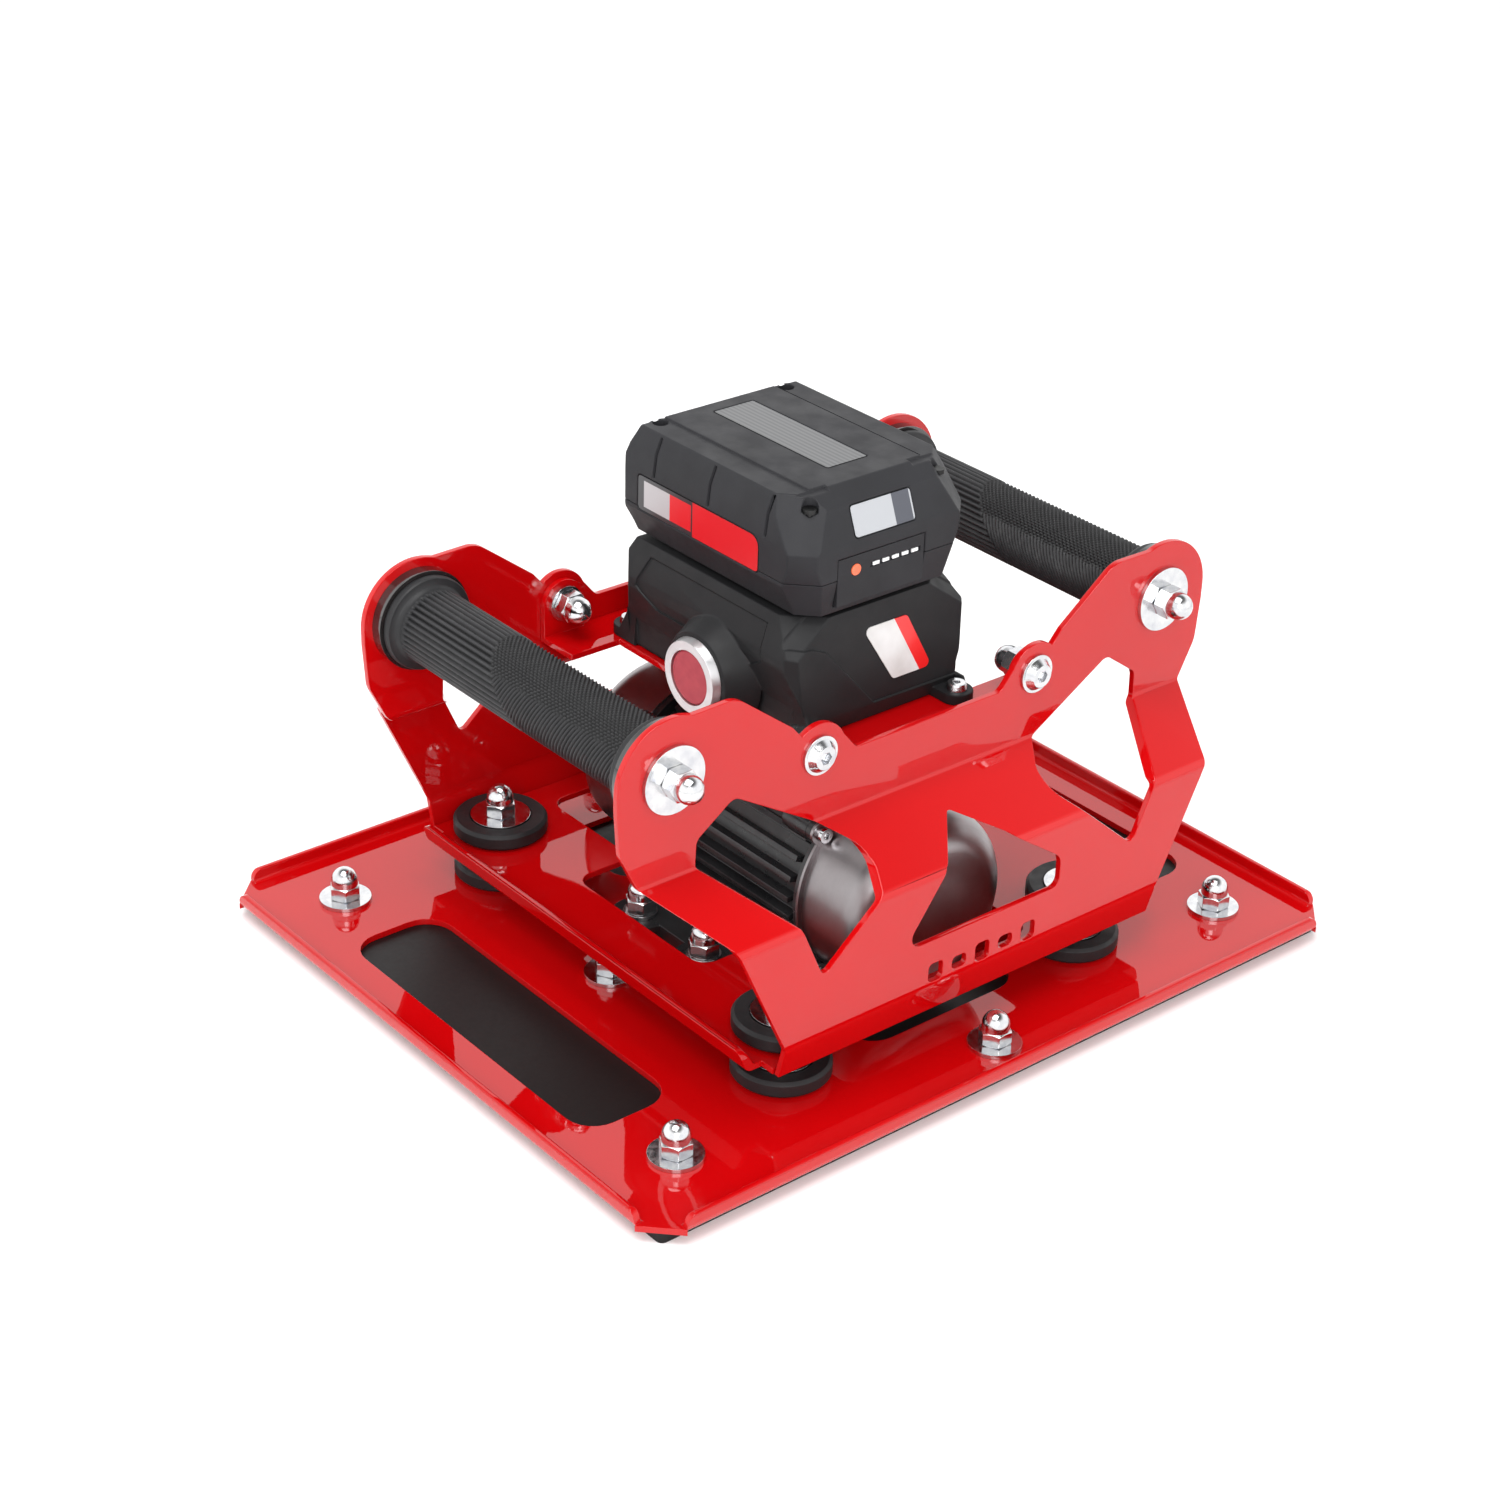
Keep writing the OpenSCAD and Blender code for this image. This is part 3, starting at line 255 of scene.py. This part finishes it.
def around_y(mat, height):
    """Coordinates (radius, distance along Y) about an axis along Y at a height."""
    split = add(mat, "ShaderNodeSeparateXYZ", [("Vector", place(mat))])
    rise = add(mat, "ShaderNodeMath", [(0, split.outputs["Z"])], operation="SUBTRACT")
    rise.inputs[1].default_value = height
    flat = add(mat, "ShaderNodeCombineXYZ", [("X", split.outputs["X"]), ("Y", rise.outputs[0])])
    radius = add(mat, "ShaderNodeVectorMath", [(0, flat.outputs["Vector"])], operation="LENGTH")
    ends = [("X", radius.outputs["Value"]), ("Y", split.outputs["Y"])]
    return add(mat, "ShaderNodeCombineXYZ", ends).outputs["Vector"]


# ---------- materials ----------


def red_paint():
    """Powder coat under a clear gloss, with a faint orange peel."""
    mat = new_material("red_paint", (0.46, 0.001, 0.002), 0.5, Coat_Weight=1.0, Coat_Roughness=0.02)
    shader_of(mat).inputs["Specular IOR Level"].default_value = 0.0
    tone = ramp(mat, noise_value(mat, 9, 4), (0.44, 0.001, 0.002), (0.48, 0.002, 0.003), 0.3, 0.7)
    connect(mat, tone, "Base Color")
    peel = noise_value(mat, 170, 2)
    bump(mat, peel, 0.03 * MM, 0.4)
    bump(mat, peel, 0.03 * MM, 0.25, socket="Coat Normal")
    return mat


def zinc():
    """Bright plating of the bolts, nuts and washers, in slightly uneven patches."""
    mat = new_material("zinc", (0.78, 0.79, 0.81), 0.16, 1.0)
    patches = noise_value(mat, 140, 4, 0.6)
    connect(mat, ramp(mat, patches, (0.52, 0.53, 0.56), (0.76, 0.76, 0.75), 0.3, 0.75), "Base Color")
    connect(mat, ramp(mat, noise_value(mat, 420, 3), 0.09, 0.26, 0.3, 0.75), "Roughness")
    bump(mat, noise_value(mat, 900, 3), 0.02 * MM, 0.5)
    return mat


def spun_steel(name, height, dark, light):
    """Drawn or turned steel with fine marks round an axis along Y."""
    mat = new_material(name, light, 0.34, 1.0)
    rings = around_y(mat, height)
    fine = noise_value(mat, 1500, 4, 0.7, rings)
    clouds = noise_value(mat, 40, 4, 0.6)
    connect(mat, ramp(mat, clouds, dark, light, 0.3, 0.7), "Base Color")
    connect(mat, ramp(mat, fine, 0.27, 0.42, 0.3, 0.7), "Roughness")
    bump(mat, fine, 0.02 * MM, 0.5)
    return mat


def moulded_plastic(name, dark, light):
    """Matte plastic with the fine cells of a spark-eroded mould."""
    mat = new_material(name, dark, 0.42)
    shader_of(mat).inputs["Specular IOR Level"].default_value = 0.2
    cells = add(mat, "ShaderNodeTexVoronoi", [("Vector", place(mat))])
    cells.inputs["Scale"].default_value = 1700
    connect(mat, ramp(mat, noise_value(mat, 35, 5), dark, light, 0.3, 0.7), "Base Color")
    connect(mat, ramp(mat, noise_value(mat, 90, 4), 0.42, 0.58, 0.3, 0.7), "Roughness")
    bump(mat, cells.outputs["Distance"], 0.05 * MM, 0.35)
    return mat


def buffer_rubber():
    """Dull rubber of the buffers, dusty in patches."""
    dark = (0.007, 0.007, 0.008)
    mat = new_material("buffer_rubber", dark, 0.6)
    shader_of(mat).inputs["Specular IOR Level"].default_value = 0.4
    tone = ramp(mat, noise_value(mat, 50, 5, 0.6), dark, (0.014, 0.014, 0.015), 0.3, 0.75)
    connect(mat, tone, "Base Color")
    connect(mat, ramp(mat, noise_value(mat, 130, 4), 0.45, 0.68, 0.3, 0.7), "Roughness")
    bump(mat, noise_value(mat, 900, 3), 0.05 * MM, 0.4)
    return mat


def grip_rubber():
    """Rubber lighter on the crests of its moulded pattern and darker in the grooves: painted
    highlight on the crests and painted shade in the grooves.
    """
    mat = new_material("grip_rubber", (0.01, 0.01, 0.01), 0.5)
    shader_of(mat).inputs["Specular IOR Level"].default_value = 0.35
    painted_relief_shade = add(mat, "ShaderNodeAttribute", attribute_name="painted_relief_shade").outputs["Fac"]
    # Painted highlight on the crests of the pattern and painted shade in its grooves, from the
    # per-point shading value of the mesh.
    tone = ramp(mat, painted_relief_shade, (0.0025, 0.0025, 0.003), (0.026, 0.026, 0.028), 0.25, 0.95)
    connect(mat, tone, "Base Color")
    connect(mat, ramp(mat, noise_value(mat, 130, 4), 0.42, 0.60, 0.3, 0.7), "Roughness")
    bump(mat, noise_value(mat, 900, 3), 0.03 * MM, 0.4)
    return mat


def sole_rubber():
    """Smoother rubber of the sole, seen through the windows of the base plate."""
    mat = new_material("sole_rubber", (0.008, 0.007, 0.007), 0.42)
    shader_of(mat).inputs["Specular IOR Level"].default_value = 0.24
    connect(mat, ramp(mat, noise_value(mat, 500, 3), 0.38, 0.46, 0.3, 0.7), "Roughness")
    tone = ramp(mat, noise_value(mat, 25, 3), (0.005, 0.004, 0.004), (0.007, 0.005, 0.005))
    connect(mat, tone, "Base Color")
    bump(mat, noise_value(mat, 1200, 2), 0.02 * MM, 0.3)
    return mat


def axes_of(mat):
    """The frame's X, Y and Z as three values."""
    return add(mat, "ShaderNodeSeparateXYZ", [("Vector", place(mat))]).outputs


def battery_films():
    """The plain coloured plates on the battery: top, front and sides."""
    mat = new_material("battery_films", (0.5, 0.5, 0.5), 0.32, Coat_Weight=0.3, Coat_Roughness=0.1)
    x, y, z = axes_of(mat)
    red = (0.60, 0.006, 0.012)
    pale = (0.40, 0.38, 0.39)
    silver = (0.36, 0.37, 0.39)
    dark = (0.02, 0.02, 0.023)
    slate = (0.05, 0.054, 0.07)

    seam_start = 10.8 * MM
    seam_end = 11.8 * MM
    patch_start = 26.5 * MM
    patch_end = 44.5 * MM
    border_low = 206 * MM
    border_high = 218.2 * MM
    framed = mixed(mat, over(mat, y, patch_start), red, pale)
    framed = mixed(mat, over(mat, y, patch_end), framed, dark)
    framed = mixed(mat, over(mat, z, border_high), framed, dark)
    framed = mixed(mat, over(mat, z, border_low), dark, framed)
    side = mixed(mat, over(mat, y, seam_start), red, dark)
    side = mixed(mat, over(mat, y, seam_end), side, framed)

    slate_start = 4 * MM
    slate_end = 13.6 * MM
    front = mixed(mat, over(mat, x, slate_start), silver, slate)
    front = mixed(mat, over(mat, x, slate_end), front, silver)

    lines = add(mat, "ShaderNodeTexWave", [("Vector", place(mat))], bands_direction="X")
    lines.inputs["Scale"].default_value = 130
    lines.inputs["Distortion"].default_value = 0.0
    top = ramp(mat, lines.outputs["Fac"], (0.030, 0.031, 0.033), (0.068, 0.070, 0.074), 0.4, 0.6)

    behind_front = -50 * MM
    under_top = 238 * MM
    tone = mixed(mat, over(mat, y, behind_front), front, side)
    tone = mixed(mat, over(mat, z, under_top), tone, top)
    connect(mat, tone, "Base Color")
    bump(mat, noise_value(mat, 900, 2), 0.01 * MM, 0.3)
    return mat


def housing_film():
    """Silver plate with a plain red bar along its slanted right edge."""
    mat = new_material("housing_film", (0.6, 0.6, 0.6), 0.3, Coat_Weight=0.4, Coat_Roughness=0.08)
    x, _, z = axes_of(mat)
    lean = 0.52
    bar_x = 21 * MM
    bar_z = 150 * MM
    slant = add(mat, "ShaderNodeMath", [(0, z), (2, x)], operation="MULTIPLY_ADD")
    slant.inputs[1].default_value = lean
    silver = ramp(mat, noise_value(mat, 60, 3), (0.52, 0.51, 0.50), (0.66, 0.66, 0.66), 0.3, 0.7)
    bar = over(mat, slant.outputs[0], bar_x + lean * bar_z)
    connect(mat, mixed(mat, bar, silver, (0.68, 0.012, 0.012)), "Base Color")
    bump(mat, noise_value(mat, 900, 2), 0.01 * MM, 0.3)
    return mat


def motor_paint():
    """Half-gloss black paint over the grain of a casting."""
    mat = new_material("motor_black", (0.012, 0.012, 0.013), 0.32)
    tone = ramp(mat, noise_value(mat, 30, 4), (0.008, 0.008, 0.009), (0.018, 0.018, 0.019), 0.3, 0.7)
    connect(mat, tone, "Base Color")
    connect(mat, ramp(mat, noise_value(mat, 160, 4), 0.25, 0.42, 0.3, 0.7), "Roughness")
    bump(mat, noise_value(mat, 520, 4, 0.6), 0.06 * MM, 0.5)
    return mat


def plain_gloss(name, dark, light, roughness=0.18, coat=0.5):
    """Smooth plastic, lacquer or film with a slight mottle between two tones."""
    mat = new_material(name, light, roughness, Coat_Weight=coat, Coat_Roughness=0.05)
    connect(mat, ramp(mat, noise_value(mat, 200, 3), dark, light, 0.3, 0.7), "Base Color")
    bump(mat, noise_value(mat, 600, 2), 0.01 * MM, 0.3)
    return mat


def bare_metal(name, dark, light, roughness=(0.25, 0.4), scale=300):
    """Uncoated metal, uneven between two tones and two roughnesses."""
    mat = new_material(name, light, roughness[0], 1.0)
    connect(mat, ramp(mat, noise_value(mat, scale / 4, 4), dark, light, 0.3, 0.7), "Base Color")
    connect(mat, ramp(mat, noise_value(mat, scale, 4), *roughness, 0.3, 0.7), "Roughness")
    bump(mat, noise_value(mat, scale * 2, 3), 0.02 * MM, 0.4)
    return mat


MOTOR_AXIS = middle("rotor_shaft").z
RED = red_paint()
ZINC = zinc()
COVER = spun_steel("cover_steel", MOTOR_AXIS, (0.25, 0.23, 0.235), (0.32, 0.30, 0.305))
TURNED = spun_steel("turned_steel", MOTOR_AXIS, (0.5, 0.5, 0.5), (0.64, 0.64, 0.64))
PLASTIC = moulded_plastic("black_plastic", (0.012, 0.012, 0.013), (0.016, 0.016, 0.017))
BATTERY = moulded_plastic("battery_plastic", (0.018, 0.018, 0.020), (0.022, 0.022, 0.025))
GRIP = grip_rubber()
BUFFER = buffer_rubber()
SOLE = sole_rubber()
MOTOR = motor_paint()
COPPER = bare_metal("copper", (0.55, 0.28, 0.14), (0.74, 0.42, 0.24))
IRON = bare_metal("weight_iron", (0.20, 0.20, 0.20), (0.32, 0.32, 0.32), (0.4, 0.6))
BEZEL = bare_metal("bezel_metal", (0.62, 0.62, 0.63), (0.70, 0.70, 0.71), (0.34, 0.44), 500)
BOARD = plain_gloss("board_green", (0.02, 0.10, 0.04), (0.04, 0.18, 0.07))
BUTTON = plain_gloss("button_red", (0.38, 0.03, 0.05), (0.45, 0.045, 0.065), 0.5, coat=0.0)
COLLAR = plain_gloss("collar_gloss", (0.010, 0.008, 0.008), (0.016, 0.013, 0.013), 0.12, coat=1.0)
BATTERY_FILMS = battery_films()
HOUSING_FILM = housing_film()
CELL = plain_gloss("cell_sleeve", (0.10, 0.26, 0.45), (0.15, 0.35, 0.55))
OXIDE = bare_metal("black_oxide", (0.03, 0.03, 0.03), (0.05, 0.05, 0.05), (0.3, 0.5))
CLEAR = plain_gloss("light_clear", (0.75, 0.75, 0.76), (0.85, 0.85, 0.86))
ORANGE = plain_gloss("gauge_orange", (0.70, 0.10, 0.03), (0.80, 0.15, 0.05))

# The material of each slot in the record.
FINISH = {
    "red_paint": RED,
    "sole_rubber": SOLE,
    "zinc": ZINC,
    "buffer_rubber": BUFFER,
    "motor_black": MOTOR,
    "copper": COPPER,
    "bearing_steel": TURNED,
    "cover_steel": COVER,
    "black_plastic": PLASTIC,
    "weight_iron": IRON,
    "board_green": BOARD,
    "bezel_chrome": BEZEL,
    "button_red": BUTTON,
    "battery_black": BATTERY,
    "cell_blue": CELL,
    "black_screw": OXIDE,
    "light_clear": CLEAR,
    "gauge_orange": ORANGE,
}

# Nodes that look different from their slot.
OWN = {"battery_labels": BATTERY_FILMS, "housing_label": HOUSING_FILM, "grip_discs": COLLAR}

# Width of the rounding on each node's hard edges; a node that isn't here gets the default.
EDGE = {"default": 0.2 * MM, "battery_labels": 0.1 * MM, "housing_label": 0.15 * MM}
EDGE.update({"base_plate": 0.3 * MM, "motor_body": 0.5 * MM})
EDGE.update({n: 0.4 * MM for n in ("cross_bracket", "end_shields")})
EDGE.update({n: 0.45 * MM for n in ("floor_tray", "side_panel_front", "side_panel_rear")})
EDGE.update({n: 0.7 * MM for n in ("housing_shell", "battery_shell", "battery_foot")})

GRIPS = ("grip_left", "grip_right")

for node in BODY_OF:
    if node in GRIPS:
        continue
    finish = OWN.get(node) or FINISH[SLOT_OF[node]]
    rounded(node, finish, EDGE.get(node, EDGE["default"]))


# ---------- grips ----------


def grip(node):
    """Moulded rubber grip: long ribs at one half, hoops and small diamonds at the other."""
    low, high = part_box(node)
    centre = (low + high) / 2
    flange = (high.z - low.z) / 2
    length = high.y - low.y
    radius = 17 * MM
    flange_t = 4.5 * MM
    flange_round = 1.0 * MM
    neck_rise = 1.5 * MM
    neck_run = 3 * MM
    bore = 11.1 * MM
    around = 312
    along = 420
    ribs = 40
    hoop_pitch = 2.1 * MM
    hoop_lean = 0.55
    diamond_pitch = 2.5 * MM
    depth = 1.0 * MM
    crown = math.radians(80)
    outward = -1 if centre.x < 0 else 1

    def relief(turn, y):
        """How deep the pattern lies under the grip's surface: 0 at the crests, 1 in the grooves."""
        ribbed = 0.5 + 0.5 * math.cos(ribs * turn)
        lean = hoop_lean * radius * turn * outward
        hooped = 0.5 + 0.5 * math.cos(2 * math.pi * (y + lean) / hoop_pitch)
        rising, falling = (2 * math.pi * (radius * turn + s * y) / diamond_pitch for s in (-1, 1))
        diamonds = (0.5 + 0.5 * math.cos(rising)) * (0.5 + 0.5 * math.cos(falling))
        facing = math.cos(turn - crown)
        border = 6 * MM + 16 * MM * facing
        in_half = 1 / (1 + math.exp((y - border) / (0.5 * MM)))
        on_top = 1 / (1 + math.exp(-(facing - 0.35) / 0.03))
        second = on_top * diamonds + (1 - on_top) * hooped
        return 1 - (1 - in_half) * ribbed**0.7 - in_half * second**0.8

    def profile(y):
        """Radius of the smooth form at a distance along the grip, and the pattern's share."""
        from_end = length / 2 - abs(y)
        if from_end < flange_t:
            edge = min(from_end, flange_t - from_end)
            return flange - max(0.0, flange_round - edge) * 0.6, 0.0
        neck = from_end - flange_t
        smooth = max(0.0, 1 - neck / neck_run)
        share = min(1.0, max(0.0, (neck - neck_run) / neck_rise))
        return radius + neck_rise * smooth**2, share

    verts = []
    crests = []
    faces = []
    stops = [-length / 2 + length * i / along for i in range(along + 1)]
    rows = [(bore, stops[0])] + [(None, y) for y in stops] + [(bore, stops[-1])]
    for fixed, y in rows:
        for j in range(around):
            turn = 2 * math.pi * j / around
            base, share = profile(y)
            sunk = share * relief(turn if turn < math.pi else turn - 2 * math.pi, y)
            r = fixed or base - depth * sunk
            verts.append((centre.x + r * math.cos(turn), centre.y + y, centre.z + r * math.sin(turn)))
            # Per-point painted shading for the rubber: painted highlight on the crests, painted shade
            # in the grooves.
            crests.append(0.6 + 0.4 * share - sunk)
    for i in range(len(rows)):
        below = i * around
        above = ((i + 1) % len(rows)) * around
        for j in range(around):
            k = (j + 1) % around
            faces.append((below + j, above + j, above + k, below + k))
    mesh = bpy.data.meshes.new(node + "_moulding")
    mesh.from_pydata(verts, [], faces)
    mesh.attributes.new("painted_relief_shade", "FLOAT", "POINT").data.foreach_set("value", crests)
    obj = make_object(node + "_moulding", mesh, GRIP)
    bm = bmesh.new()
    bm.from_mesh(mesh)
    bmesh.ops.recalc_face_normals(bm, faces=bm.faces)
    bm.to_mesh(mesh)
    bm.free()
    finish_mesh(obj, smooth_angle=50)
    stand_for(obj, node)


for node in GRIPS:
    grip(node)


# ---------- stage, light and camera ----------


def floor():
    """A wide white floor; it isn't part of the object."""
    size = 6.0
    corners = [(-size, -size, 0), (size, -size, 0), (size, size, 0), (-size, size, 0)]
    mesh = bpy.data.meshes.new("floor")
    mesh.from_pydata(corners, [], [(0, 1, 2, 3)])
    mat = new_material("floor_white", (0.92, 0.92, 0.92), 0.9)
    shader_of(mat).inputs["Specular IOR Level"].default_value = 0.0
    obj = make_object("floor", mesh, mat)


def world():
    """White all round the horizon and darker overhead, as in a studio with a white sweep."""
    scene = bpy.context.scene
    scene.world = bpy.data.worlds.new("studio")
    scene.world.use_nodes = True
    tree = scene.world.node_tree
    back = tree.nodes["Background"]
    coords = tree.nodes.new("ShaderNodeTexCoord")
    split = tree.nodes.new("ShaderNodeSeparateXYZ")
    shade = tree.nodes.new("ShaderNodeValToRGB")
    tree.links.new(coords.outputs["Generated"], split.inputs["Vector"])
    tree.links.new(split.outputs["Z"], shade.inputs["Fac"])
    tree.links.new(shade.outputs["Color"], back.inputs["Color"])
    low, high = shade.color_ramp.elements
    low.position = 0.60
    low.color = (1, 1, 1, 1)
    high.position = 0.84
    high.color = (0.10, 0.10, 0.10, 1)
    back.inputs["Strength"].default_value = 1.5


def softbox(name, place_at, aim, size, power):
    """A rectangular light at a place, turned towards a point."""
    data = bpy.data.lights.new(name, "AREA")
    data.shape = "RECTANGLE"
    data.size, data.size_y = size
    data.energy = power
    obj = bpy.data.objects.new(name, data)
    obj.location = place_at
    obj.rotation_euler = (Vector(aim) - Vector(place_at)).to_track_quat("-Z", "Y").to_euler()
    bpy.context.scene.collection.objects.link(obj)


def camera():
    """Stands where the reference view was taken from."""
    yaw = math.radians(-40.1)
    pitch = math.radians(-28.7)
    roll = math.radians(1.7)
    stand = Vector((-0.7641, -0.8817, 0.7276))
    ahead = Vector((-math.sin(yaw), math.cos(yaw), 0))
    forward = math.cos(pitch) * ahead + Vector((0, 0, math.sin(pitch)))
    level = Vector((math.cos(yaw), math.sin(yaw), 0))
    top = level.cross(forward)
    right = math.cos(roll) * level + math.sin(roll) * top
    up = -math.sin(roll) * level + math.cos(roll) * top
    data = bpy.data.cameras.new("camera")
    data.sensor_width = 36
    data.lens = 70.68
    obj = bpy.data.objects.new("camera", data)
    turn = Matrix((right, up, -forward)).transposed().to_4x4()
    obj.matrix_world = Matrix.Translation(stand) @ turn
    bpy.context.scene.collection.objects.link(obj)
    bpy.context.scene.camera = obj


floor()
world()
softbox("overhead", (-0.5, -0.2, 2.2), (0, 0, 0.1), (1.6, 1.6), 42)
softbox("front_fill", (-1.6, -2.2, 1.5), (0, 0, 0.1), (1.4, 1.4), 34)
camera()
bpy.context.scene.view_settings.view_transform = "Standard"
